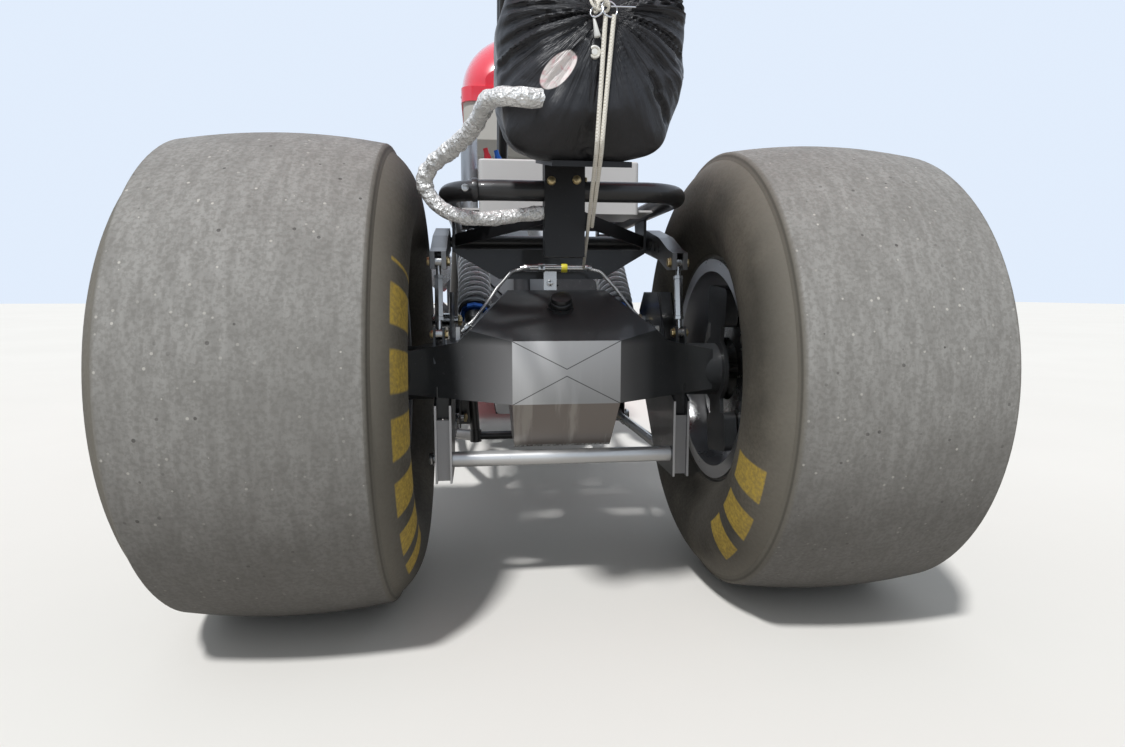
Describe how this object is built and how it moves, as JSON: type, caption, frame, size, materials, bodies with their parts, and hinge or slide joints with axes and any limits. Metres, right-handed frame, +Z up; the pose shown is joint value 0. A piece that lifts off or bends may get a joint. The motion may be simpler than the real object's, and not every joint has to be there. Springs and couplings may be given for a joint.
{
  "type": "drag racing car",
  "caption": "Rear-engine drag racing car: wide slick rear tyres on a sprung axle, long nose, roll cage, air scoop, parachute pack and rear wing.",
  "frame": {"origin": "on the ground at the middle of the car's length and width", "axes": "+X to the car's right, +Y towards its nose, +Z up"},
  "size_m": [1.392, 7.18, 1.7898],
  "materials": {
    "tyre_rubber": "matt, dusty",
    "rim_alloy": "satin",
    "steel": "satin",
    "axle_black": "satin black",
    "frame_black": "semi-gloss black",
    "link_metal": "satin",
    "coil_silver": "satin",
    "hose_braid": "braided",
    "bag_nylon": "woven nylon",
    "foil_wrap": "crinkled foil",
    "cord_cream": "braided cord",
    "battery_grey": "gloss",
    "can_grey": "satin",
    "engine_alloy": "cast",
    "block_black": "painted",
    "cover_alloy": "polished",
    "header_steel": "heat-tinted",
    "tray_tan": "matt",
    "scoop_red": "gloss red",
    "body_red": "gloss red",
    "seat_black": "padded",
    "screen_tint": "smoked",
    "grip_black": "matt",
    "panel_alloy": "brushed sheet"
  },
  "bodies": {
    "chassis": {"axle_housing": "axle_black", "link_brackets": "frame_black", "link_bars": "link_metal", "side_frame_right": "frame_black", "side_frame_left": "frame_black", "frame_rear": "frame_black", "antiroll_bar": "frame_black", "antiroll_links": "link_metal", "coilovers": "coil_silver", "brake_calipers": "frame_black", "brake_tee": "steel", "brake_hoses": "hose_braid", "chute_mount": "frame_black", "chute_pack": "bag_nylon", "battery_box": "battery_grey", "breather_can": "can_grey", "transmission": "engine_alloy", "engine_block": "block_black", "valve_covers": "cover_alloy", "intake_manifold": "engine_alloy", "carburettors": "engine_alloy", "scoop_tray": "tray_tan", "air_scoop": "scoop_red", "headers_right": "header_steel", "headers_left": "header_steel", "firewall": "panel_alloy", "body_tub": "body_red", "body_nose": "body_red", "roll_cage": "frame_black", "seat": "seat_black", "dash_and_column": "panel_alloy", "windscreen": "screen_tint", "front_axle": "frame_black", "wing": "body_red", "wing_struts": "frame_black", "foil_tether": "foil_wrap", "release_cord_long": "cord_cream", "release_cord_short": "cord_cream"},
    "rear_wheels": {"rear_tyre_right": "tyre_rubber", "rear_tyre_left": "tyre_rubber", "rear_rim_right": "rim_alloy", "rear_rim_left": "rim_alloy", "rear_axle_shaft": "steel"},
    "steer_right": {"front_spindle_right": "steel"},
    "steer_left": {"front_spindle_left": "steel"},
    "front_wheel_right": {"front_tyre_right": "tyre_rubber", "front_rim_right": "rim_alloy"},
    "front_wheel_left": {"front_tyre_left": "tyre_rubber", "front_rim_left": "rim_alloy"},
    "tie_rod_body": {"tie_rod": "link_metal"},
    "steering_wheel_body": {"steering_wheel": "grip_black"}
  },
  "joints": [
    {"name": "rear_wheels_spin", "type": "hinge", "parent": "chassis", "child": "rear_wheels", "pos_m": [0, -3.07, 0.435], "axis": [1, 0, 0], "continuous": true},
    {"name": "steer_left_turn", "type": "hinge", "parent": "chassis", "child": "steer_left", "pos_m": [-0.3, 3.03, 0.28], "axis": [0, 0, 1], "range_deg": [-12, 12]},
    {"name": "steer_right_turn", "type": "hinge", "parent": "chassis", "child": "steer_right", "pos_m": [0.3, 3.03, 0.28], "axis": [0, 0, 1], "range_deg": [-12, 12]},
    {"name": "front_wheel_left_spin", "type": "hinge", "parent": "steer_left", "child": "front_wheel_left", "pos_m": [-0.395, 3.03, 0.305], "axis": [1, 0, 0], "continuous": true},
    {"name": "front_wheel_right_spin", "type": "hinge", "parent": "steer_right", "child": "front_wheel_right", "pos_m": [0.395, 3.03, 0.305], "axis": [1, 0, 0], "continuous": true},
    {"name": "tie_rod_slide", "type": "slide", "parent": "chassis", "child": "tie_rod_body", "axis": [1, 0, 0], "range_m": [-0.0235, 0.0235]},
    {"name": "steering_wheel_turn", "type": "hinge", "parent": "chassis", "child": "steering_wheel_body", "pos_m": [0, -0.495, 0.625], "axis": [0, -0.9764, 0.2162], "range_deg": [-72.5, 72.5]}
  ],
  "couplings": [
    {"joint": "steer_right_turn", "follows": "steer_left_turn", "ratio": 1},
    {"joint": "tie_rod_slide", "follows": "steer_left_turn", "m_per_rad": 0.11},
    {"joint": "steering_wheel_turn", "follows": "steer_left_turn", "ratio": 6}
  ]
}
